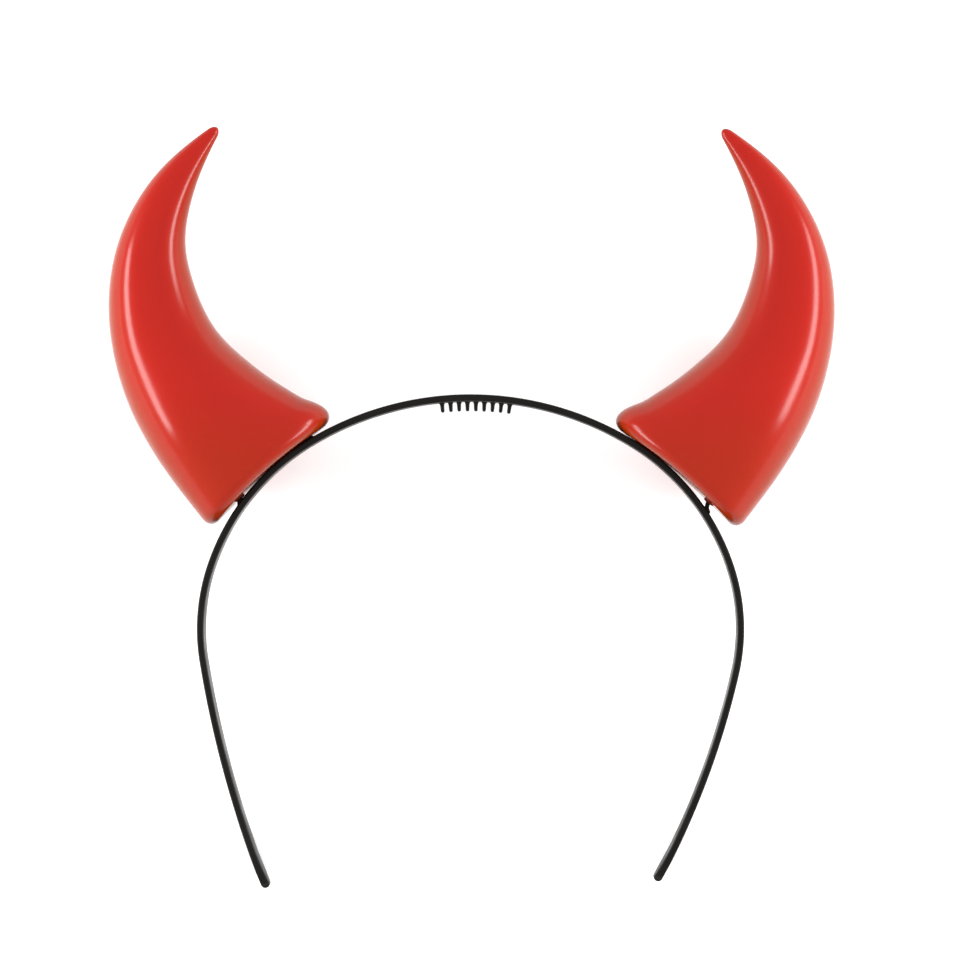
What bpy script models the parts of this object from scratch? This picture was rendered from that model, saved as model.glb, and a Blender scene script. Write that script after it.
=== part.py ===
"""Devil horns headband: two hollow moulded horns tabbed onto a thin springy band.

The band is drawn flat in the XY plane, its crown towards +Y and its front towards +Z. The whole
thing is then laid on its back, as it rests by itself, on the two horns and the two band tips.
"""

import math

import bmesh
import bpy
from mathutils import Matrix, Vector

MM = 0.001
FIT_GAP = 0.3 * MM  # between a horn and the band or its tabs
SHARP_EDGE = math.radians(35.0)  # surfaces that turn more than this meet in a crisp edge

# The band, measured round its outer face from its topmost point.
BAND_WIDTH = 11.0 * MM  # front to back
BAND_THICKNESS = 1.7 * MM
BAND_CHAMFER = 0.35 * MM
CROWN_RADIUS = 76.8 * MM
CROWN_TURN = math.radians(31.2)
SHOULDER_RADIUS = 56.9 * MM
SHOULDER_TURN = math.radians(40.4)
TEMPLE_RADIUS = 49.1 * MM
SIDE_LENGTH = 81.7 * MM  # from the shoulder's end to the tip
FACET_TURN = math.radians(5.0)
TIP_THICKNESS = 2.1 * MM
TIP_LENGTH = 9.0 * MM  # stretch over which an arm thickens and narrows
TIP_WIDTH = 6.0 * MM
TIP_SPANS = 3  # over that stretch
TIP_CLOSE_TURNS = (30.0, 55.0, 75.0)  # degrees round the closed tip
TIP_CLOSE_LOSS = 0.3  # share of the width that the closed tip loses

# The springy arms don't stand quite alike: side, temple turn, radius of the arm below it.
ARMS = {
    "left": (-1, math.radians(27.7), 271.0 * MM),
    "right": (1, math.radians(31.3), 202.0 * MM),
}

# The comb inside the crown, and the moulded features that are spaced from its middle.
COMB_OFFSET = 1.3 * MM  # from the topmost point, to the right
TOOTH_COUNT = 9
TOOTH_PITCH = 2.06 * MM
TOOTH_THICKNESS = 0.86 * MM
TOOTH_WIDTH = 3.0 * MM
TOOTH_LENGTH = 2.35 * MM
TOOTH_TAPER = 0.75  # the end's share of the root

# Tabs that hold the horns: place from the comb's middle, thickness, lean from the worn upright.
TAB_WIDTH = 4.0 * MM
TAB_REACH = 1.5 * MM  # past the inside of the horn's base
TABS = {
    "inner": (45.0 * MM, 6.0 * MM, math.radians(35.0)),
    "outer": (65.5 * MM, 1.0 * MM, math.radians(13.0)),
}

# The horns. Lengths run along the curved middle line from the base.
HORN_LENGTH = 98.9 * MM
HORN_WIDTH = 44.0 * MM  # along the band, at the base before its edge is rounded
HORN_DEPTH = 32.0 * MM  # front to back, where the horn is deepest
HORN_WALL = 0.8 * MM
HORN_TIP_ROUND = 1.6 * MM
FOOT_ROUND = 3.0 * MM  # of the base's edge at the front, the back and the outer end
FOOT_INNER_ROUND = 7.0 * MM  # of the same edge at the end towards the crown
FOOT_REACH = 2.25 * MM  # of the foot past the horn's side, towards the crown
FOOT_REACH_HEIGHT = 9.0 * MM  # over which it fades out up the wall
BASE_ARCH_RADIUS = 115.0 * MM  # hollow of the base over the band
BASE_SKEW_END = 0.25  # share of the length over which the sections turn square to the line
BASE_ARCH_END = 0.12
SLOT_RIM = 0.9 * MM
SLOT_RIM_HEIGHT = 0.45 * MM
HORN_SIDES = 28
HORN_SPANS = 17  # from the rounded base to the rounded tip
BASE_RING_SCALES = (0.12, 0.45, 0.75)  # rings that carry the hollow of the base inwards
FOOT_TURNS = (90.0, 68.0, 48.0, 30.0, 14.0, 0.0)  # degrees round the edge of the base
HORN_TIP_TURNS = (35.0, 65.0, 82.0)  # degrees round the tip
MIDDLE_LINE_STEPS = 240

# From the base to the tip. The turn is that of the middle line back over the head, in degrees,
# and the other columns are shares of the length, the width and the depth.
SECTION_COLUMNS = ("share", "turn", "width", "depth")
HORN_SECTIONS = (
    (0.0, -11.6, 0.945, 0.840),
    (0.1, -7.4, 0.842, 0.930),
    (0.2, -0.9, 0.758, 0.990),
    (0.3, 8.0, 0.678, 0.970),
    (0.4, 19.5, 0.594, 0.840),
    (0.5, 30.6, 0.522, 0.735),
    (0.6, 41.5, 0.440, 0.615),
    (0.7, 56.4, 0.346, 0.480),
    (0.8, 68.7, 0.260, 0.360),
    (0.9, 78.4, 0.159, 0.222),
    (1.0, 83.7, 0.050, 0.070),
)

# How each horn is seated: place of its middle from the topmost point, turn of the horn back
# towards the crown, tilt of its base cut, and length trimmed off the base.
SEATS = {
    "left": (53.6 * MM, math.radians(1.4), math.radians(-0.3), 0.3 * MM),
    "right": (55.0 * MM, math.radians(3.9), math.radians(-0.6), 0.3 * MM),
}


def clear_scene():
    for obj in list(bpy.data.objects):
        bpy.data.objects.remove(obj, do_unlink=True)


def plastic(name, color, roughness):
    material = bpy.data.materials.new(name)
    material.use_nodes = True
    shader = material.node_tree.nodes["Principled BSDF"]
    shader.inputs["Base Color"].default_value = (*color, 1.0)
    shader.inputs["Roughness"].default_value = roughness
    shader.inputs["Metallic"].default_value = 0.0
    return material


def new_object(name, bm, material=None):
    """An object from a bmesh of closed shells, smooth except over sharp edges."""
    bmesh.ops.recalc_face_normals(bm, faces=bm.faces)
    mesh = bpy.data.meshes.new(name)
    bm.to_mesh(mesh)
    bm.free()
    mesh.shade_smooth()
    mesh.set_sharp_from_angle(angle=SHARP_EDGE)
    obj = bpy.data.objects.new(name, mesh)
    bpy.context.scene.collection.objects.link(obj)
    if material:
        mesh.materials.append(material)
    return obj


def cut_or_join(obj, name, bm, operation):
    """A Boolean on obj with the shells of bm as its hidden tool."""
    tool = new_object(f"{obj.name}_{name}", bm)
    tool.hide_render = True
    tool.display_type = "WIRE"
    modifier = obj.modifiers.new(name, "BOOLEAN")
    modifier.operation = operation
    modifier.solver = "EXACT"
    modifier.object = tool


def loft(bm, rings):
    """A closed skin through rings of points, with a flat end on the first and the last."""
    loops = []
    for ring in rings:
        verts = [bm.verts.new(point) for point in ring]
        loops.append([bm.edges.new(ends) for ends in zip(verts, verts[1:] + verts[:1])])
    for loop, following in zip(loops, loops[1:]):
        bmesh.ops.bridge_loops(bm, edges=loop + following)
    for end in (loops[0], loops[-1]):
        bmesh.ops.contextual_create(bm, geom=end)


def block(bm, size, taper, place):
    """A box standing on the local XZ plane along +Y, its end narrowed to the share taper."""
    made = bmesh.ops.create_cube(bm, size=1.0)["verts"]
    for vert in made:
        scale = taper if vert.co.y > 0 else 1.0
        vert.co = Vector(
            (vert.co.x * size[0] * scale, (vert.co.y + 0.5) * size[1], vert.co.z * size[2])
        )
    bmesh.ops.transform(bm, matrix=place, verts=made)


def band_arcs(side):
    """Length and radius of each arc from the topmost point to the tip."""
    _, temple_turn, arm_radius = ARMS[side]
    temple = TEMPLE_RADIUS * temple_turn
    return (
        (CROWN_RADIUS * CROWN_TURN, CROWN_RADIUS),
        (SHOULDER_RADIUS * SHOULDER_TURN, SHOULDER_RADIUS),
        (temple, TEMPLE_RADIUS),
        (SIDE_LENGTH - temple, arm_radius),
    )


def band_point(side, distance):
    """Place on the outer face, and how far the band has turned down from the crown."""
    sign = ARMS[side][0]
    x = y = turn = 0.0
    remaining = distance
    for length, radius in band_arcs(side):
        step = min(remaining, length) / radius
        x += radius * (math.sin(turn + step) - math.sin(turn))
        y += radius * (math.cos(turn + step) - math.cos(turn))
        turn += step
        remaining -= min(remaining, length)
    return Vector((sign * x, y, 0.0)), turn


def leaning(side, place, lean):
    """Frame at place: +Y leans outwards by lean, +X follows the band away from the crown."""
    sign = ARMS[side][0]
    along = Vector((sign * math.cos(lean), -math.sin(lean), 0.0))
    out = Vector((sign * math.sin(lean), math.cos(lean), 0.0))
    frame = Matrix((along, out, along.cross(out))).transposed().to_4x4()
    return Matrix.Translation(place) @ frame


def from_comb(side, distance):
    """Distance from the topmost point of a feature spaced from the comb's middle."""
    return distance + ARMS[side][0] * COMB_OFFSET


def band_stations(side):
    """Distances from the topmost point at which the band has a section, tip excluded."""
    distances = []
    start = 0.0
    for length, radius in band_arcs(side):
        facets = math.ceil(length / radius / FACET_TURN)
        distances += [start + length * i / facets for i in range(1, facets + 1)]
        start += length
    swell = start - TIP_LENGTH
    tip_start = start - TIP_THICKNESS / 2
    kept = [d for d in distances if d < swell]
    return kept + [swell + (tip_start - swell) * i / TIP_SPANS for i in range(TIP_SPANS + 1)]


def band_section(side, distance, close=0.0):
    """Chamfered section at distance. close runs from 0 to a quarter turn round the tip."""
    end = sum(length for length, _ in band_arcs(side))
    into_tip = max(0.0, (distance - end + TIP_LENGTH) / TIP_LENGTH)
    thickness = BAND_THICKNESS + (TIP_THICKNESS - BAND_THICKNESS) * min(1.0, into_tip)
    width = BAND_WIDTH - (BAND_WIDTH - TIP_WIDTH) * min(1.0, into_tip) ** 2
    place, turn = band_point(side, distance)
    out = leaning(side, place, turn).col[1].to_3d()
    middle = place - out * thickness / 2
    half = thickness / 2 * math.cos(close)
    edge = width / 2 * (1.0 - TIP_CLOSE_LOSS * (1.0 - math.cos(close)))
    chamfer = BAND_CHAMFER * math.cos(close)
    corners = (
        (half, edge - chamfer),
        (half - chamfer, edge),
        (chamfer - half, edge),
        (-half, edge - chamfer),
        (-half, chamfer - edge),
        (chamfer - half, -edge),
        (half - chamfer, -edge),
        (half, chamfer - edge),
    )
    return [middle + out * across + Vector((0.0, 0.0, z)) for across, z in corners]


def band_side(side):
    """Sections from beside the crown to the round tip."""
    rings = [band_section(side, distance) for distance in band_stations(side)]
    end = sum(length for length, _ in band_arcs(side))
    radius = TIP_THICKNESS / 2
    for degrees in TIP_CLOSE_TURNS:
        close = math.radians(degrees)
        rings.append(band_section(side, end - radius + radius * math.sin(close), close))
    return rings


def horn_frame(side):
    """Frame on the band's outer face at the horn's middle: +Y runs into the horn."""
    seat, toe, _, _ = SEATS[side]
    place, turn = band_point(side, seat)
    return leaning(side, place, turn - toe)


def base_height(side, along):
    """Height of the horn's base over its own frame, before it is lifted clear of the band."""
    tilt = SEATS[side][2]
    return -math.tan(tilt) * along - along * along / (2 * BASE_ARCH_RADIUS)


def base_lift(side):
    """Lift that keeps the hollow base FIT_GAP clear of the band under it."""
    to_horn = horn_frame(side).inverted()
    seat = SEATS[side][0]
    heights = []
    for i in range(HORN_SIDES + 1):
        along = (i / HORN_SIDES - 0.5) * HORN_WIDTH
        under = to_horn @ band_point(side, seat + along)[0]
        heights.append(base_height(side, under.x) - under.y)
    return FIT_GAP - min(heights)


def tab_place(side, tab):
    """Frame of a tab's root on the band's outer face, and the tab's whole height."""
    distance, _, lean = TABS[tab]
    root, _ = band_point(side, from_comb(side, distance))
    frame = leaning(side, root, lean)
    to_horn = horn_frame(side).inverted() @ frame
    foot = to_horn.translation
    rise = to_horn.col[1].to_3d()
    wall = base_height(side, foot.x) + base_lift(side) + HORN_WALL - foot.y
    return frame, wall / rise.y + TAB_REACH


def tab_block(bm, side, tab, clearance):
    """A tab, or the slot that it passes through when clearance is its gap to the tab."""
    frame, height = tab_place(side, tab)
    root = BAND_THICKNESS / 2
    size = (
        TABS[tab][1] + 2 * clearance,
        height + root + 2 * clearance,
        TAB_WIDTH + 2 * clearance,
    )
    block(bm, size, 1.0, frame @ Matrix.Translation((0.0, -root, 0.0)))


def make_headband(material):
    left = band_side("left")
    right = band_side("right")
    bm = bmesh.new()
    top = band_section("right", 0.0)
    loft(bm, left[::-1] + [top] + right)
    band = new_object("headband", bm, material)

    teeth = bmesh.new()
    for i in range(TOOTH_COUNT):
        offset = COMB_OFFSET + (i - (TOOTH_COUNT - 1) / 2) * TOOTH_PITCH
        side = "right" if offset > 0 else "left"
        place, turn = band_point(side, abs(offset))
        frame = leaning(side, place, turn) @ Matrix.Rotation(math.pi, 4, "Z")
        size = (TOOTH_THICKNESS, TOOTH_LENGTH + BAND_THICKNESS / 2, TOOTH_WIDTH)
        block(teeth, size, TOOTH_TAPER, frame @ Matrix.Translation((0.0, BAND_THICKNESS / 2, 0.0)))
    cut_or_join(band, "comb", teeth, "UNION")

    tabs = bmesh.new()
    for side in ARMS:
        for tab in TABS:
            tab_block(tabs, side, tab, 0.0)
    cut_or_join(band, "tabs", tabs, "UNION")
    return band


def smooth_column(share, column):
    """A table column read at share, on a smooth curve through its rows."""
    index = SECTION_COLUMNS.index(column)
    last = len(HORN_SECTIONS) - 1
    i = min(int(share * last), last - 1)
    before, low, high, after = (
        HORN_SECTIONS[min(max(k, 0), last)][index] for k in (i - 1, i, i + 1, i + 2)
    )
    t = share * last - i
    start, stop = (high - before) / 2, (after - low) / 2
    return (
        low * (2 * t**3 - 3 * t**2 + 1)
        + start * (t**3 - 2 * t**2 + t)
        + high * (3 * t**2 - 2 * t**3)
        + stop * (t**3 - t**2)
    )


def horn_line(share, trim):
    """Place on the horn's middle line, from the trimmed base, in the horn's frame."""
    point = Vector((0.0, 0.0, 0.0))
    first = trim / HORN_LENGTH
    step = (share - first) / MIDDLE_LINE_STEPS
    for i in range(MIDDLE_LINE_STEPS):
        turn = math.radians(smooth_column(first + (i + 0.5) * step, "turn"))
        point += Vector((-math.sin(turn), math.cos(turn), 0.0)) * step
    return point * HORN_LENGTH


def rounded_in(height, radius):
    """How far an edge of that radius draws a section in at a height over the base."""
    rest = max(0.0, 1.0 - height / radius)
    return radius * (1.0 - math.sqrt(1.0 - rest * rest))


def horn_ring(side, share, inset, scale=1.0):
    """One section of a horn, drawn in by inset and by the rounding of the base's edge."""
    trim = SEATS[side][3]
    height = max(0.0, share * HORN_LENGTH - trim - inset)
    from_tip = (1.0 - share) * HORN_LENGTH - inset
    tip = 1.0
    if from_tip < HORN_TIP_ROUND:
        tip = math.sqrt(max(0.0, 1.0 - (1.0 - from_tip / HORN_TIP_ROUND) ** 2))
    half_width = HORN_WIDTH / 2 * smooth_column(share, "width") * tip - inset
    half_depth = HORN_DEPTH / 2 * smooth_column(share, "depth") * tip - inset
    outer = (half_width - rounded_in(height, FOOT_ROUND)) * scale
    climbed = min(1.0, (height + inset) / FOOT_REACH_HEIGHT)
    reach = FOOT_REACH * (1.0 - climbed**2) ** 2
    inner = (half_width + reach - rounded_in(height, FOOT_INNER_ROUND)) * scale
    depth = (half_depth - rounded_in(height, FOOT_ROUND)) * scale
    skew = smooth_column(0.0, "turn") * max(0.0, 1.0 - share / BASE_SKEW_END)
    turn = math.radians(smooth_column(share, "turn") - skew)
    centre = horn_line(share, trim) + Vector((0.0, base_lift(side), 0.0))
    place = Matrix.Translation(centre) @ Matrix.Rotation(turn, 4, "Z")
    arch = max(0.0, 1.0 - share / BASE_ARCH_END)
    points = []
    for i in range(HORN_SIDES):
        angle = 2 * math.pi * i / HORN_SIDES
        x = (outer if math.cos(angle) > 0.0 else inner) * math.cos(angle)
        z = depth * math.sin(angle)
        y = base_height(side, x) * arch
        points.append(horn_frame(side) @ place @ Vector((x, y, z)))
    return points


def horn_skin(side, inset):
    """A horn's closed skin, moved inwards by inset, from the middle of its base to its tip."""
    base = (SEATS[side][3] + inset) / HORN_LENGTH
    side_start = base + FOOT_INNER_ROUND / HORN_LENGTH
    rings = [horn_ring(side, base, inset, scale) for scale in BASE_RING_SCALES]
    for degrees in FOOT_TURNS:
        rise = FOOT_INNER_ROUND * (1.0 - math.sin(math.radians(degrees)))
        rings.append(horn_ring(side, base + rise / HORN_LENGTH, inset))
    round_start = 1.0 - (HORN_TIP_ROUND + inset) / HORN_LENGTH
    for i in range(1, HORN_SPANS + 1):
        share = side_start + (round_start - side_start) * i / HORN_SPANS
        rings.append(horn_ring(side, share, inset))
    for degrees in HORN_TIP_TURNS:
        share = round_start + HORN_TIP_ROUND * math.sin(math.radians(degrees)) / HORN_LENGTH
        rings.append(horn_ring(side, share, inset))
    return rings


def make_horn(side, material):
    bm = bmesh.new()
    loft(bm, horn_skin(side, 0.0))
    horn = new_object(f"{side}_horn", bm, material)

    # A small raised rim stands round the slot of the outer tab.
    rim = bmesh.new()
    frame, _ = tab_place(side, "outer")
    foot = horn_frame(side).inverted() @ frame.translation
    height = base_height(side, foot.x) + base_lift(side) - SLOT_RIM_HEIGHT
    margin = 2 * (FIT_GAP + SLOT_RIM)
    size = (TABS["outer"][1] + margin, SLOT_RIM_HEIGHT + HORN_WALL / 2, TAB_WIDTH + margin)
    rise = horn_frame(side).inverted() @ frame
    climb = (height - foot.y) / rise.col[1].y
    place = Matrix.Translation((foot.x + climb * rise.col[1].x, height, 0.0))
    block(rim, size, 1.0, horn_frame(side) @ place)
    cut_or_join(horn, "slot_rim", rim, "UNION")

    cavity = bmesh.new()
    loft(cavity, horn_skin(side, HORN_WALL))
    cut_or_join(horn, "cavity", cavity, "DIFFERENCE")

    slots = bmesh.new()
    for tab in TABS:
        tab_block(slots, side, tab, FIT_GAP)
    cut_or_join(horn, "slots", slots, "DIFFERENCE")
    return horn


def world_points(obj):
    """Every corner of the object with its modifiers applied."""
    graph = bpy.context.evaluated_depsgraph_get()
    evaluated = obj.evaluated_get(graph)
    return [evaluated.matrix_world @ vert.co for vert in evaluated.data.vertices]


def lay_down(band, horns):
    """Turn everything about X until horns and band tips touch the surface together."""
    band_points = world_points(band)
    horn_points = [point for horn in horns for point in world_points(horn)]

    def lowest(points, tilt):
        return min(p.y * math.sin(tilt) + p.z * math.cos(tilt) for p in points)

    low, high = 0.0, math.radians(30.0)
    for _ in range(50):
        tilt = (low + high) / 2
        if lowest(band_points, tilt) > lowest(horn_points, tilt):
            low = tilt
        else:
            high = tilt
    turned = [Matrix.Rotation(tilt, 3, "X") @ p for p in band_points + horn_points]
    corners = [[f(p[axis] for p in turned) for axis in range(3)] for f in (min, max)]
    rest = bpy.data.objects.new("resting_place", None)
    bpy.context.scene.collection.objects.link(rest)
    rest.rotation_euler = (tilt, 0.0, 0.0)
    rest.location = (
        -(corners[0][0] + corners[1][0]) / 2,
        -(corners[0][1] + corners[1][1]) / 2,
        -corners[0][2],
    )
    for obj in list(bpy.context.scene.collection.objects):
        if obj is not rest:
            obj.parent = rest
    bpy.context.view_layer.update()


clear_scene()
red = plastic("horn_red_plastic", (0.57, 0.032, 0.018), 0.22)
black = plastic("band_black_plastic", (0.012, 0.011, 0.010), 0.45)
headband = make_headband(black)
lay_down(headband, [make_horn(side, red) for side in ARMS])
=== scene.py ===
"""The look of the devil horns headband: a black springy band with two glossy red horns."""

import math

import bmesh
import bpy
import numpy as np
from mathutils import Matrix, Vector


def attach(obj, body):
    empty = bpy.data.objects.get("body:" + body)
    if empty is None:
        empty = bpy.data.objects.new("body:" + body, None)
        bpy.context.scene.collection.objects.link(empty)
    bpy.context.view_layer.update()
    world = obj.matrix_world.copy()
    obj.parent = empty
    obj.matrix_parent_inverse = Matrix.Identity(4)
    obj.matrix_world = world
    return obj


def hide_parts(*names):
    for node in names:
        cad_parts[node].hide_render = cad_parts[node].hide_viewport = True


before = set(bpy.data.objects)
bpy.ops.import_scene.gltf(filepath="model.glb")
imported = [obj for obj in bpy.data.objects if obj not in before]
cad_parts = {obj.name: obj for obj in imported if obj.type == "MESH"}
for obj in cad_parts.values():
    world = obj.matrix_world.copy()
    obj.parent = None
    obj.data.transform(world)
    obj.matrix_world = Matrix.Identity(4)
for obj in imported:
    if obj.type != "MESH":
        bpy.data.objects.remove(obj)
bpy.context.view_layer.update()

# The moulded band. Black, slightly satin plastic, injection moulded in one shot, with its long
# edges rounded and each arm ending in a thicker round tip. It is drawn with its crown towards +Y
# and its front towards +Z, then laid on its back on the horns and the two tips.
MM = 0.001
LAID_PLACE = Matrix.Translation((-0.245 * MM, 27.423 * MM, 16.341 * MM))
LAID_TILT = math.radians(5.532)
LAID = LAID_PLACE @ Matrix.Rotation(LAID_TILT, 4, "X")
BAND_WIDTH = 11.0 * MM
BAND_THICKNESS = 1.7 * MM
BAND_EDGE = 0.42 * MM
BAND_STEP = 1.2 * MM
TIP_LENGTH = 9.0 * MM
TIP_THICKNESS = 2.1 * MM
TIP_WIDTH = 6.0 * MM
TIP_CLOSE_LOSS = 0.3
TIP_STEPS = 10
# Degrees round the end of an arm, at its last sections.
TIP_CLOSING = (18, 36, 52, 66, 78, 86)
MERGE_DISTANCE = 0.01 * MM
SHARP_ANGLE = math.radians(40.0)
SIDES = {"left": -1.0, "right": 1.0}
# Radius and turn of each arc of the outer face, from the topmost point down to the arm's tip.
CROWN = (76.8 * MM, math.radians(31.2))
SHOULDER = (56.9 * MM, math.radians(40.4))
ARCS = {
    "left": (CROWN, SHOULDER, (49.1 * MM, math.radians(27.7)), (271.0 * MM, math.radians(12.255))),
    "right": (CROWN, SHOULDER, (49.1 * MM, math.radians(31.3)), (202.0 * MM, math.radians(15.566))),
}


def band_place(side, distance, lean=None):
    """Frame on the outer face, +X away from the crown and +Y square to it or at the lean given."""
    x = y = turn = 0.0
    for radius, arc in ARCS[side]:
        step = min(max(distance, 0.0), radius * arc) / radius
        x += radius * (math.sin(turn + step) - math.sin(turn))
        y += radius * (math.cos(turn + step) - math.cos(turn))
        turn += step
        distance -= radius * arc
    sign = SIDES[side]
    turn = turn if lean is None else lean
    along = Vector((sign * math.cos(turn), -math.sin(turn), 0.0))
    out = Vector((sign * math.sin(turn), math.cos(turn), 0.0))
    axes = Matrix((along, out, along.cross(out))).transposed().to_4x4()
    return Matrix.Translation((sign * x, y, 0.0)) @ axes


def rounded_profile(bm, thickness, width, edge):
    """A rounded oblong across the run, thickness along Y and width along Z, as a loop of edges."""
    made = bmesh.ops.create_grid(bm, x_segments=1, y_segments=1, size=0.5)["verts"]
    bmesh.ops.scale(bm, vec=(thickness, width, 1.0), verts=made)
    corners = [vert for vert in bm.verts if vert in made]
    rounded = bmesh.ops.bevel(
        bm, geom=corners, offset=edge, segments=4, profile=0.5, affect="VERTICES", material=-1
    )
    face = next(iter({f for vert in rounded["verts"] for f in vert.link_faces}))
    upright = Matrix(((0, 0, 1, 0), (1, 0, 0, 0), (0, 1, 0, 0), (0, 0, 0, 1)))
    bmesh.ops.transform(bm, matrix=upright, verts=face.verts)
    loop = list(face.edges)
    bmesh.ops.delete(bm, geom=[face], context="FACES_ONLY")
    return loop


def run_on(bm, loop, move):
    """Extrudes a loop of edges and carries the new loop on by a matrix."""
    made = bmesh.ops.extrude_edge_only(bm, edges=loop)["geom"]
    verts = [part for part in made if isinstance(part, bmesh.types.BMVert)]
    bmesh.ops.transform(bm, matrix=move, verts=verts)
    return [part for part in made if isinstance(part, bmesh.types.BMEdge) and part.is_boundary]


def run_along(bm, loop, places):
    """Runs a loop on through a list of places, the first of which it stands in, to a loop each."""
    loops = [loop]
    for here, there in zip(places, places[1:]):
        loops.append(run_on(bm, loops[-1], there @ here.inverted()))
    return loops


def finished(name, bm, material):
    """The piece laid in its place, with its faces turned out and smooth but for its edges."""
    bmesh.ops.recalc_face_normals(bm, faces=bm.faces)
    mesh = bpy.data.meshes.new(name)
    bm.to_mesh(mesh)
    bm.free()
    mesh.transform(LAID)
    mesh.shade_smooth()
    mesh.set_sharp_from_angle(angle=SHARP_ANGLE)
    mesh.materials.append(material)
    piece = bpy.data.objects.new(name, mesh)
    bpy.context.scene.collection.objects.link(piece)
    return piece


def node(tree, kind, place, **settings):
    """A new shader node at a place on its sheet, with its settings."""
    made = tree.nodes.new(kind)
    made.location = place
    for name, value in settings.items():
        setattr(made, name, value)
    return made


def surface_group():
    """Uneven patches and the fine bumpy grain of a moulded surface, read on the object itself."""
    group = bpy.data.node_groups.new("moulded_surface", "ShaderNodeTree")
    face = group.interface
    for name, value in (("Patch Scale", 60.0), ("Grain Scale", 900.0), ("Grain Height", 0.02)):
        socket = face.new_socket(name, in_out="INPUT", socket_type="NodeSocketFloat")
        socket.default_value = value
    face.new_socket("Patches", in_out="OUTPUT", socket_type="NodeSocketFloat")
    face.new_socket("Normal", in_out="OUTPUT", socket_type="NodeSocketVector")
    given = node(group, "NodeGroupInput", (-800, 0))
    out = node(group, "NodeGroupOutput", (400, 0))
    where = node(group, "ShaderNodeTexCoord", (-800, -250))
    patches = node(group, "ShaderNodeTexNoise", (-500, 200))
    grain = node(group, "ShaderNodeTexNoise", (-500, -100))
    bump = node(group, "ShaderNodeBump", (0, -100))
    patches.inputs["Detail"].default_value = 3.0
    grain.inputs["Detail"].default_value = 2.0
    bump.inputs["Distance"].default_value = 0.1 * MM
    link = group.links.new
    link(where.outputs["Object"], patches.inputs["Vector"])
    link(where.outputs["Object"], grain.inputs["Vector"])
    link(given.outputs["Patch Scale"], patches.inputs["Scale"])
    link(given.outputs["Grain Scale"], grain.inputs["Scale"])
    link(given.outputs["Grain Height"], bump.inputs["Strength"])
    link(grain.outputs["Fac"], bump.inputs["Height"])
    link(patches.outputs["Fac"], out.inputs["Patches"])
    link(bump.outputs["Normal"], out.inputs["Normal"])
    return group


MOULDED_SURFACE = surface_group()


def black_plastic():
    """Deep black with a brown cast, satin where the mould was polished and duller in patches."""
    material = bpy.data.materials.new("black_plastic")
    material.use_nodes = True
    tree = material.node_tree
    shader = tree.nodes["Principled BSDF"]
    surface = node(tree, "ShaderNodeGroup", (-700, 0), node_tree=MOULDED_SURFACE)
    surface.inputs["Patch Scale"].default_value = 140.0
    surface.inputs["Grain Scale"].default_value = 2600.0
    surface.inputs["Grain Height"].default_value = 0.10
    colour = node(tree, "ShaderNodeMix", (-300, 200), data_type="RGBA")
    colour.inputs["A"].default_value = (0.0026, 0.0020, 0.0015, 1.0)
    colour.inputs["B"].default_value = (0.0065, 0.0054, 0.0042, 1.0)
    shader.inputs["Specular IOR Level"].default_value = 0.15
    rough = node(tree, "ShaderNodeMapRange", (-300, -50))
    rough.inputs["From Min"].default_value = 0.35
    rough.inputs["From Max"].default_value = 0.65
    rough.inputs["To Min"].default_value = 0.34
    rough.inputs["To Max"].default_value = 0.46
    tree.links.new(surface.outputs["Patches"], colour.inputs["Factor"])
    tree.links.new(surface.outputs["Patches"], rough.inputs["Value"])
    tree.links.new(colour.outputs["Result"], shader.inputs["Base Color"])
    tree.links.new(rough.outputs["Result"], shader.inputs["Roughness"])
    tree.links.new(surface.outputs["Normal"], shader.inputs["Normal"])
    return material


BLACK_PLASTIC = black_plastic()


def arm_places(side):
    """Places of the band's sections from the topmost point to the closed tip of one arm."""
    end = sum(radius * arc for radius, arc in ARCS[side])
    swell = end - TIP_LENGTH
    cap = end - TIP_THICKNESS / 2
    count = math.ceil(swell / BAND_STEP)
    middle = Matrix.Translation((0.0, -BAND_THICKNESS / 2, 0.0))
    places = [band_place(side, swell * i / count) @ middle for i in range(count + 1)]
    for i in range(1, TIP_STEPS + 1):
        distance = swell + (cap - swell) * i / TIP_STEPS
        share = (distance - swell) / TIP_LENGTH
        thick = BAND_THICKNESS + (TIP_THICKNESS - BAND_THICKNESS) * share
        wide = BAND_WIDTH - (BAND_WIDTH - TIP_WIDTH) * share**2
        size = Matrix.Diagonal((1.0, thick / BAND_THICKNESS, wide / BAND_WIDTH, 1.0))
        places.append(band_place(side, distance) @ Matrix.Translation((0, -thick / 2, 0)) @ size)
    for degrees in TIP_CLOSING:
        close = math.radians(degrees)
        distance = cap + TIP_THICKNESS / 2 * math.sin(close)
        thick = TIP_THICKNESS * math.cos(close)
        wide = TIP_WIDTH * (1.0 - TIP_CLOSE_LOSS * (1.0 - math.cos(close)))
        size = Matrix.Diagonal((1.0, thick / BAND_THICKNESS, wide / BAND_WIDTH, 1.0))
        lifted = Matrix.Translation((0.0, -TIP_THICKNESS / 2, 0.0))
        places.append(band_place(side, distance) @ lifted @ size)
    return places


shape = bmesh.new()
for side in SIDES:
    places = arm_places(side)
    loop = rounded_profile(shape, BAND_THICKNESS, BAND_WIDTH, BAND_EDGE)
    bmesh.ops.transform(shape, matrix=places[0], verts=list({v for e in loop for v in e.verts}))
    bmesh.ops.contextual_create(shape, geom=run_along(shape, loop, places)[-1])
bmesh.ops.remove_doubles(shape, verts=shape.verts, dist=MERGE_DISTANCE)
band = finished("band", shape, BLACK_PLASTIC)
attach(band, "root")
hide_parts("headband")


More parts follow.
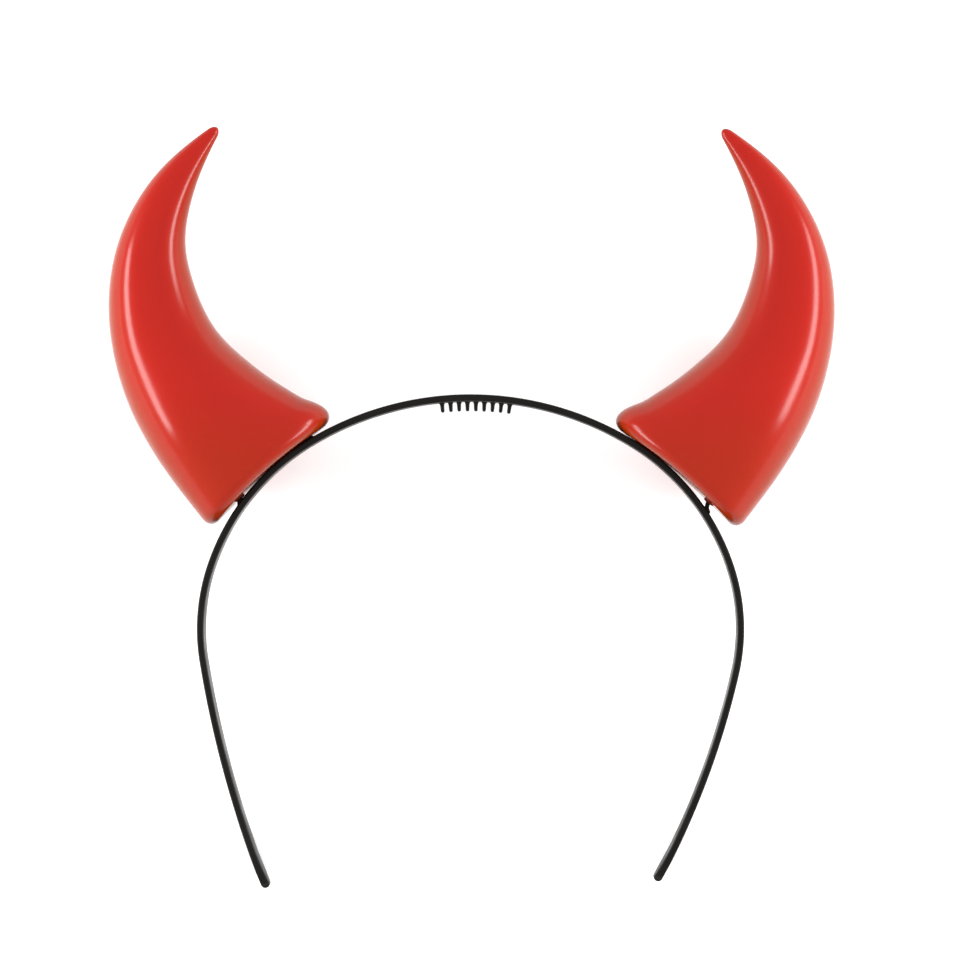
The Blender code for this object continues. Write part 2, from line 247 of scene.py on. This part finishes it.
# The comb inside the crown. Nine short teeth of the same black plastic, moulded with the band,
# with soft fillets where they leave it and blunt round ends that keep the band from slipping.
COMB_OFFSET = 1.3 * MM
TOOTH_COUNT = 9
TOOTH_PITCH = 2.13 * MM
TOOTH_THICKNESS = 0.86 * MM
TOOTH_WIDTH = 3.0 * MM
TOOTH_LENGTH = 2.35 * MM
TOOTH_EDGE = 0.4 * TOOTH_THICKNESS
# Columns: shares of the length from the band's inner face, of the thickness and of the width.
TOOTH_RUN = (
    (-0.35, 2.20, 1.20),
    (0.00, 1.95, 1.14),
    (0.07, 1.55, 1.06),
    (0.17, 1.28, 1.01),
    (0.35, 1.14, 1.00),
    (0.80, 1.02, 0.96),
    (0.90, 0.94, 0.92),
    (0.96, 0.74, 0.84),
    (1.00, 0.36, 0.70),
)

shape = bmesh.new()
for i in range(TOOTH_COUNT):
    offset = COMB_OFFSET + (i - (TOOTH_COUNT - 1) / 2) * TOOTH_PITCH
    root = band_place("right" if offset > 0 else "left", abs(offset))
    inwards = root @ Matrix.Translation((0.0, -BAND_THICKNESS, 0.0))
    # A tooth runs along local X, so X is turned to point down into the head.
    inwards = inwards @ Matrix.Rotation(-math.pi / 2, 4, "Z")
    places = [
        inwards
        @ Matrix.Translation((share * TOOTH_LENGTH, 0.0, 0.0))
        @ Matrix.Diagonal((1.0, thick, wide, 1.0))
        for share, thick, wide in TOOTH_RUN
    ]
    loop = rounded_profile(shape, TOOTH_THICKNESS, TOOTH_WIDTH, TOOTH_EDGE)
    start = list({vert for edge in loop for vert in edge.verts})
    bmesh.ops.contextual_create(shape, geom=loop)
    bmesh.ops.transform(shape, matrix=places[0], verts=start)
    bmesh.ops.contextual_create(shape, geom=run_along(shape, loop, places)[-1])
comb = finished("comb", shape, BLACK_PLASTIC)
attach(comb, "root")


# The tabs that carry the horns. Two of the band's black plastic for each horn, moulded with the
# band, standing on its outer face with a small fillet and pushed through slots in the horn's base.
TAB_WIDTH = 4.0 * MM
TAB_EDGE = 0.2 * MM
# Inner and outer tab: distance from the comb's middle, thickness, lean outwards, height.
TABS = {
    "left": (
        (45.0 * MM, 6.0 * MM, math.radians(35.0), 2.80 * MM),
        (65.5 * MM, 1.0 * MM, math.radians(13.0), 3.74 * MM),
    ),
    "right": (
        (45.0 * MM, 6.0 * MM, math.radians(35.0), 2.60 * MM),
        (65.5 * MM, 1.0 * MM, math.radians(13.0), 4.88 * MM),
    ),
}
# Fillet of a tab in millimetres: height over the band's face and added thickness there.
TAB_FILLET = ((-0.6, 1.3), (0.0, 0.9), (0.15, 0.6), (0.4, 0.25), (0.8, 0.0))

shape = bmesh.new()
for side in SIDES:
    for distance, thickness, lean, height in TABS[side]:
        root = band_place(side, distance + SIDES[side] * COMB_OFFSET, lean)
        up = root @ Matrix.Rotation(math.pi / 2, 4, "Z")
        rises = [(rise * MM, added * MM) for rise, added in TAB_FILLET] + [(height, 0.0)]
        places = [
            up
            @ Matrix.Translation((rise, 0.0, 0.0))
            @ Matrix.Diagonal((1.0, 1.0 + added / thickness, 1.0, 1.0))
            for rise, added in rises
        ]
        loop = rounded_profile(shape, thickness, TAB_WIDTH, TAB_EDGE)
        start = list({vert for edge in loop for vert in edge.verts})
        bmesh.ops.contextual_create(shape, geom=loop)
        bmesh.ops.transform(shape, matrix=places[0], verts=start)
        bmesh.ops.contextual_create(shape, geom=run_along(shape, loop, places)[-1])
tabs = finished("tabs", shape, BLACK_PLASTIC)
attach(tabs, "root")


# The horns. Hollow glossy red vinyl shells, curved in over the head and drawn to a round point.
# The wall rolls under at the foot into a base that is hollowed to sit over the band, with a slot
# for each tab and a low rim round the outer one.
HORN_LENGTH = 98.9 * MM
HORN_WIDTH = 44.0 * MM
HORN_DEPTH = 32.0 * MM
HORN_WALL = 0.8 * MM
HORN_TIP_ROUND = 1.6 * MM
FOOT_ROUND = 3.0 * MM
FOOT_INNER_ROUND = 7.0 * MM
FOOT_REACH = 2.25 * MM
FOOT_REACH_HEIGHT = 9.0 * MM
BASE_ARCH_RADIUS = 115.0 * MM
BASE_SKEW_END = 0.25
BASE_ARCH_END = 0.12
HORN_SEGMENTS = 64
HORN_RINGS = 84
# Rings of the base as shares of its outline, then degrees round the foot and round the tip.
BASE_SCALES = (0.1, 0.3, 0.5, 0.7, 0.87)
FOOT_TURNS = (90, 80, 70, 61, 53, 45, 38, 31, 24, 17, 10, 5, 0)
TIP_TURNS = (15, 30, 45, 58, 70, 80)
MIDDLE_STEPS = 200
SLOT_GAP = 0.3 * MM
SLOT_RIM = 0.6 * MM
SLOT_RIM_HEIGHT = 0.35 * MM
SLOT_RIM_EDGE = 0.25 * MM
SLOT_OVERRUN = 1.0 * MM
# Columns: turn of the middle line back over the head in degrees, share of the width and of the
# depth, at even steps from the base to the tip.
HORN_RUN = (
    (-11.6, 0.945, 0.840),
    (-7.4, 0.842, 0.930),
    (-0.9, 0.758, 0.990),
    (8.0, 0.678, 0.970),
    (19.5, 0.594, 0.840),
    (30.6, 0.522, 0.735),
    (41.5, 0.440, 0.615),
    (56.4, 0.346, 0.480),
    (68.7, 0.260, 0.360),
    (78.4, 0.159, 0.222),
    (83.7, 0.050, 0.070),
)
# Columns: seat's distance from the topmost point, turn back to the crown, tilt of the base,
# length trimmed off the base, lift off the band.
HORN_SEATS = {
    "left": (53.6 * MM, math.radians(1.4), math.radians(-0.3), 0.3 * MM, 0.12 * MM),
    "right": (55.0 * MM, math.radians(3.9), math.radians(-0.6), 0.3 * MM, 0.42 * MM),
}


def smooth_through(rows):
    """Evenly spaced rows and the slopes of a smooth curve through them, with both ends free."""
    rows = np.array(rows)
    count = len(rows)
    pull = np.diag([4.0] * count) + np.diag([1.0] * (count - 1), 1) + np.diag([1.0] * (count - 1), -1)
    pull[0, 0] = pull[-1, -1] = 2.0
    spread = np.empty_like(rows)
    spread[1:-1] = 3 * (rows[2:] - rows[:-2])
    spread[0] = 3 * (rows[1] - rows[0])
    spread[-1] = 3 * (rows[-1] - rows[-2])
    return rows, np.linalg.solve(pull, spread)


HORN_CURVE = smooth_through(HORN_RUN)


def horn_size(share):
    """Turn in radians, half width and half depth of the horn at a share of its length."""
    rows, slopes = HORN_CURVE
    i = min(int(share * (len(rows) - 1)), len(rows) - 2)
    t = share * (len(rows) - 1) - i
    turn, width, depth = (
        rows[i] * (2 * t**3 - 3 * t**2 + 1)
        + slopes[i] * (t**3 - 2 * t**2 + t)
        + rows[i + 1] * (3 * t**2 - 2 * t**3)
        + slopes[i + 1] * (t**3 - t**2)
    )
    return math.radians(turn), HORN_WIDTH / 2 * width, HORN_DEPTH / 2 * depth


def horn_middle(share, trim):
    """Point on the middle line at a share of the length, from the trimmed base."""
    first = trim / HORN_LENGTH
    step = (share - first) / MIDDLE_STEPS
    point = Vector((0.0, 0.0, 0.0))
    for i in range(MIDDLE_STEPS):
        turn = horn_size(first + (i + 0.5) * step)[0]
        point += Vector((-math.sin(turn), math.cos(turn), 0.0)) * step * HORN_LENGTH
    return point


def horn_seat(side):
    """Place on the band's outer face that the middle of a horn's base stands over."""
    seat, toe = HORN_SEATS[side][:2]
    upright = band_place(side, seat)
    turn = math.asin(upright.col[1][0] * SIDES[side])
    return band_place(side, seat, turn - toe)


def rounded_in(height, radius):
    """How far an edge of that radius is drawn in at a height over the base."""
    rest = max(0.0, 1.0 - height / radius)
    return radius * (1.0 - math.sqrt(1.0 - rest * rest))


def horn_place(side, share, inset, scale):
    """Place and size of one ring, drawn in by the wall and by the rounding of the foot."""
    trim, lift = HORN_SEATS[side][3:]
    turn, half_width, half_depth = horn_size(share)
    from_tip = (1.0 - share) * HORN_LENGTH - inset
    tip = 1.0
    if from_tip < HORN_TIP_ROUND:
        tip = math.sqrt(max(0.0, 1.0 - (1.0 - from_tip / HORN_TIP_ROUND) ** 2))
    skew = horn_size(0.0)[0] * max(0.0, 1.0 - share / BASE_SKEW_END)
    centre = horn_middle(share, trim) + Vector((0.0, lift, 0.0))
    drawn_in = rounded_in(share * HORN_LENGTH - trim - inset, FOOT_ROUND) + inset
    wide = (half_width * tip - drawn_in) * scale
    deep = (half_depth * tip - drawn_in) * scale
    return (
        Matrix.Translation(centre)
        @ Matrix.Rotation(turn - skew, 4, "Z")
        @ Matrix.Diagonal((wide, 1.0, deep, 1.0))
    )


def base_height(side, along):
    """Height of the hollow base over its seat at a distance along the band from its middle."""
    return -math.tan(HORN_SEATS[side][2]) * along - along * along / (2 * BASE_ARCH_RADIUS)


def shape_foot(bm, ring, side, share, inset, place, scale):
    """Rounds and widens a ring's half towards the crown and hollows the ring over the band."""
    over_base = share * HORN_LENGTH - HORN_SEATS[side][3]
    climbed = min(1.0, over_base / FOOT_REACH_HEIGHT)
    height = over_base - inset
    added = FOOT_REACH * (1.0 - climbed**2) ** 2
    added += rounded_in(height, FOOT_ROUND) - rounded_in(height, FOOT_INNER_ROUND)
    wide = place.col[0].length
    to_ring = place.inverted()
    inner = [vert for vert in ring if (to_ring @ vert.co).x < 0.0]
    bmesh.ops.scale(bm, vec=(1.0 + added * scale / wide, 1.0, 1.0), space=to_ring, verts=inner)
    hollow = max(0.0, 1.0 - share / BASE_ARCH_END)
    for vert in ring:
        along = (to_ring @ vert.co).x * wide
        vert.co += place.col[1].to_3d() * base_height(side, along) * hollow


def horn_skin(side, inset):
    """One closed skin of a horn, from the middle of its base over the foot to its tip."""
    base = (HORN_SEATS[side][3] + inset) / HORN_LENGTH
    rings = [(base, scale) for scale in BASE_SCALES]
    for degrees in FOOT_TURNS:
        rise = FOOT_INNER_ROUND * (1.0 - math.sin(math.radians(degrees)))
        rings.append((base + rise / HORN_LENGTH, 1.0))
    side_start = base + FOOT_INNER_ROUND / HORN_LENGTH
    tip_start = 1.0 - (HORN_TIP_ROUND + inset) / HORN_LENGTH
    for i in range(1, HORN_RINGS + 1):
        rings.append((side_start + (tip_start - side_start) * i / HORN_RINGS, 1.0))
    for degrees in TIP_TURNS:
        share = tip_start + HORN_TIP_ROUND * math.sin(math.radians(degrees)) / HORN_LENGTH
        rings.append((share, 1.0))

    bm = bmesh.new()
    circle = bmesh.ops.create_circle(bm, segments=HORN_SEGMENTS, radius=1.0, cap_ends=True)
    start = circle["verts"]
    places = [horn_place(side, share, inset, scale) for share, scale in rings]
    lying = Matrix.Rotation(math.pi / 2, 4, "X")
    bmesh.ops.transform(bm, matrix=places[0] @ lying, verts=start)
    loops = run_along(bm, list(bm.edges), places)
    bmesh.ops.contextual_create(bm, geom=loops[-1])
    for loop, place, (share, scale) in zip(loops, places, rings):
        if share < BASE_ARCH_END:
            ring = list({vert for edge in loop for vert in edge.verts})
            shape_foot(bm, ring, side, share, inset, place, scale)
    bmesh.ops.recalc_face_normals(bm, faces=bm.faces)
    bmesh.ops.transform(bm, matrix=horn_seat(side), verts=bm.verts)
    return bm


def red_vinyl():
    """Glossy red, warmer low down and a little see-through, with the orange glow of light through the
    thin edges painted in where the wall turns away from above.
    """
    material = bpy.data.materials.new("red_vinyl")
    material.use_nodes = True
    tree = material.node_tree
    shader = tree.nodes["Principled BSDF"]
    surface = node(tree, "ShaderNodeGroup", (-900, -100), node_tree=MOULDED_SURFACE)
    surface.inputs["Patch Scale"].default_value = 45.0
    surface.inputs["Grain Scale"].default_value = 1500.0
    surface.inputs["Grain Height"].default_value = 0.03
    where = node(tree, "ShaderNodeTexCoord", (-1300, 300))
    apart = node(tree, "ShaderNodeSeparateXYZ", (-1100, 300))
    placed = node(tree, "ShaderNodeSeparateXYZ", (-1100, 550))
    # Painted glow: as the surface turns from facing up to facing sideways, the colour moves towards
    # an orange that stands in for light glowing through the thin edges.
    facing = node(tree, "ShaderNodeMath", (-900, 300), operation="ABSOLUTE")
    painted_edge_glow = node(tree, "ShaderNodeMapRange", (-700, 300), interpolation_type="SMOOTHSTEP")
    painted_edge_glow.inputs["From Min"].default_value = 0.95
    painted_edge_glow.inputs["From Max"].default_value = 0.25
    # A is the red where the surface faces up. B is the orange of the painted edge glow, and the
    # warmth low down mixes towards the same colour.
    colour = node(tree, "ShaderNodeMix", (-400, 300), data_type="RGBA")
    colour.inputs["A"].default_value = (0.370, 0.0110, 0.0055, 1.0)
    colour.inputs["B"].default_value = (0.240, 0.021, 0.0010, 1.0)
    low = node(tree, "ShaderNodeMapRange", (-700, 550), interpolation_type="SMOOTHSTEP")
    low.inputs["From Min"].default_value = 30.0 * MM
    low.inputs["From Max"].default_value = 5.0 * MM
    low.inputs["To Max"].default_value = 0.40
    either = node(tree, "ShaderNodeMath", (-550, 450), operation="MAXIMUM")
    shader.inputs["Specular IOR Level"].default_value = 0.18
    rough = node(tree, "ShaderNodeMapRange", (-400, 0))
    rough.inputs["From Min"].default_value = 0.3
    rough.inputs["From Max"].default_value = 0.7
    rough.inputs["To Min"].default_value = 0.16
    rough.inputs["To Max"].default_value = 0.22
    shader.inputs["Subsurface Weight"].default_value = 0.12
    shader.inputs["Subsurface Radius"].default_value = (1.0, 0.25, 0.1)
    shader.inputs["Subsurface Scale"].default_value = 2.0 * MM
    link = tree.links.new
    link(where.outputs["Normal"], apart.inputs["Vector"])
    link(apart.outputs["Z"], facing.inputs[0])
    link(facing.outputs["Value"], painted_edge_glow.inputs["Value"])
    link(where.outputs["Object"], placed.inputs["Vector"])
    link(placed.outputs["Y"], low.inputs["Value"])
    link(painted_edge_glow.outputs["Result"], either.inputs[0])
    link(low.outputs["Result"], either.inputs[1])
    link(either.outputs["Value"], colour.inputs["Factor"])
    link(surface.outputs["Patches"], rough.inputs["Value"])
    link(colour.outputs["Result"], shader.inputs["Base Color"])
    link(rough.outputs["Result"], shader.inputs["Roughness"])
    link(surface.outputs["Normal"], shader.inputs["Normal"])
    return material


RED_VINYL = red_vinyl()


def slot_box(side, tab):
    """A box round a tab, wider than it by the gap and longer than it at both ends."""
    distance, thickness, lean, height = tab
    bm = bmesh.new()
    bmesh.ops.create_cube(bm, size=1.0)
    tall = height + 2 * SLOT_OVERRUN
    size = Matrix.Diagonal((thickness + 2 * SLOT_GAP, tall, TAB_WIDTH + 2 * SLOT_GAP, 1.0))
    root = band_place(side, distance + SIDES[side] * COMB_OFFSET, lean)
    middle = Matrix.Translation((0.0, height / 2, 0.0))
    bmesh.ops.transform(bm, matrix=root @ middle @ size, verts=bm.verts)
    return bm


def rim_box(side):
    """The low pad under the base that the outer tab's slot runs through."""
    distance, thickness, lean = TABS[side][1][:3]
    seat = horn_seat(side)
    root = seat.inverted() @ band_place(side, distance + SIDES[side] * COMB_OFFSET, lean)
    foot, rise = root.translation, root.col[1]
    low = base_height(side, foot.x) + HORN_SEATS[side][4] - SLOT_RIM_HEIGHT
    along = foot.x + rise.x * (low - foot.y) / rise.y
    margin = 2 * (SLOT_GAP + SLOT_RIM)
    tall = SLOT_RIM_HEIGHT + HORN_WALL / 2
    bm = bmesh.new()
    bmesh.ops.create_cube(bm, size=1.0)
    size = Matrix.Diagonal((thickness + margin, tall, TAB_WIDTH + margin, 1.0))
    bmesh.ops.transform(bm, matrix=size, verts=bm.verts)
    edges = list(bm.edges)
    bmesh.ops.bevel(
        bm, geom=edges, offset=SLOT_RIM_EDGE, segments=3, profile=0.5, affect="EDGES", material=-1
    )
    place = seat @ Matrix.Translation((along, low + tall / 2, 0.0))
    bmesh.ops.transform(bm, matrix=place, verts=bm.verts)
    return bm


def cut_or_join(piece, bm, operation):
    """Cuts the closed shell of bm out of the piece or joins it on, and keeps the result."""
    tool = finished("tool", bm, RED_VINYL)
    modifier = piece.modifiers.new(operation, "BOOLEAN")
    modifier.operation = operation
    modifier.solver = "EXACT"
    modifier.object = tool
    graph = bpy.context.evaluated_depsgraph_get()
    made = bpy.data.meshes.new_from_object(piece.evaluated_get(graph))
    piece.modifiers.clear()
    before, piece.data = piece.data, made
    bpy.data.meshes.remove(before)
    # The tool goes with its mesh.
    bpy.data.meshes.remove(tool.data)


def clear_cut_edges(mesh):
    """Takes out the points that a cut leaves along an edge where no other edge meets it."""
    bm = bmesh.new()
    bm.from_mesh(mesh)
    spare = [vert for vert in bm.verts if len(vert.link_edges) == 2]
    bmesh.ops.dissolve_verts(bm, verts=spare)
    bm.to_mesh(mesh)
    bm.free()


for side in SIDES:
    horn = finished(f"{side}_vinyl_horn", horn_skin(side, 0.0), RED_VINYL)
    cut_or_join(horn, rim_box(side), "UNION")
    cut_or_join(horn, horn_skin(side, HORN_WALL), "DIFFERENCE")
    for tab in TABS[side]:
        cut_or_join(horn, slot_box(side, tab), "DIFFERENCE")
    clear_cut_edges(horn.data)
    horn.data.shade_smooth()
    horn.data.set_sharp_from_angle(angle=SHARP_ANGLE)
    horn.data.name = horn.name
    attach(horn, "root")
    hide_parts(f"{side}_horn")


# The studio. The headband lies on a plain white table that glows a little, as a light table does,
# and is seen square to the band from above. Two level strip lights stand left and right and draw
# the long streaks on the horns, with a soft white room all round.
TABLE_SIZE = 6.0
STRIP_LENGTH = 0.84
STRIP_WIDTH = 0.16
STRIP_WATTS = 8.6
STRIP_HEIGHT = 0.27
STRIP_AIM_HEIGHT = 0.01
# Place of each strip across the table and along it.
STRIPS = {"left_strip": (-0.75, -0.02), "right_strip": (0.75, 0.08)}
CAMERA_DISTANCE = 1.22
CAMERA_AIM = (11.09 * MM, -32.88 * MM)
LENS_SHIFT = (-0.0375, 0.0510)
LENS_NEAREST = 0.05
MILLIMETRES_PER_PIXEL = 0.245
FRAME_PIXELS = 960
SENSOR = 36.0

shape = bmesh.new()
bmesh.ops.create_grid(shape, x_segments=1, y_segments=1, size=TABLE_SIZE / 2)
mesh = bpy.data.meshes.new("table")
shape.to_mesh(mesh)
shape.free()
table = bpy.data.objects.new("table", mesh)
bpy.context.scene.collection.objects.link(table)
white = bpy.data.materials.new("white_table")
white.use_nodes = True
surface = white.node_tree.nodes["Principled BSDF"]
surface.inputs["Base Color"].default_value = (0.95, 0.95, 0.95, 1.0)
surface.inputs["Roughness"].default_value = 0.9
surface.inputs["Emission Color"].default_value = (1.0, 1.0, 1.0, 1.0)
surface.inputs["Emission Strength"].default_value = 0.22
mesh.materials.append(white)

world = bpy.data.worlds.new("white_room")
world.use_nodes = True
world.node_tree.nodes["Background"].inputs["Color"].default_value = (1.0, 1.0, 1.0, 1.0)
world.node_tree.nodes["Background"].inputs["Strength"].default_value = 0.88
bpy.context.scene.world = world
bpy.context.scene.view_settings.view_transform = "Standard"

for name, (across, along) in STRIPS.items():
    light = bpy.data.lights.new(name, "AREA")
    light.shape = "RECTANGLE"
    light.size = STRIP_LENGTH
    light.size_y = STRIP_WIDTH
    light.energy = STRIP_WATTS
    lamp = bpy.data.objects.new(name, light)
    lamp.location = (across, along, STRIP_HEIGHT)
    facing = Vector((-across, 0.0, STRIP_AIM_HEIGHT - STRIP_HEIGHT))
    lamp.rotation_euler = facing.to_track_quat("-Z", "Y").to_euler()
    bpy.context.scene.collection.objects.link(lamp)

lens = bpy.data.cameras.new("camera")
lens.sensor_width = SENSOR
lens.lens = SENSOR * CAMERA_DISTANCE / (MILLIMETRES_PER_PIXEL * MM * FRAME_PIXELS)
lens.shift_x, lens.shift_y = LENS_SHIFT
lens.clip_start = LENS_NEAREST
camera = bpy.data.objects.new("camera", lens)
camera.matrix_world = LAID @ Matrix.Translation((*CAMERA_AIM, CAMERA_DISTANCE))
bpy.context.scene.collection.objects.link(camera)
bpy.context.scene.camera = camera
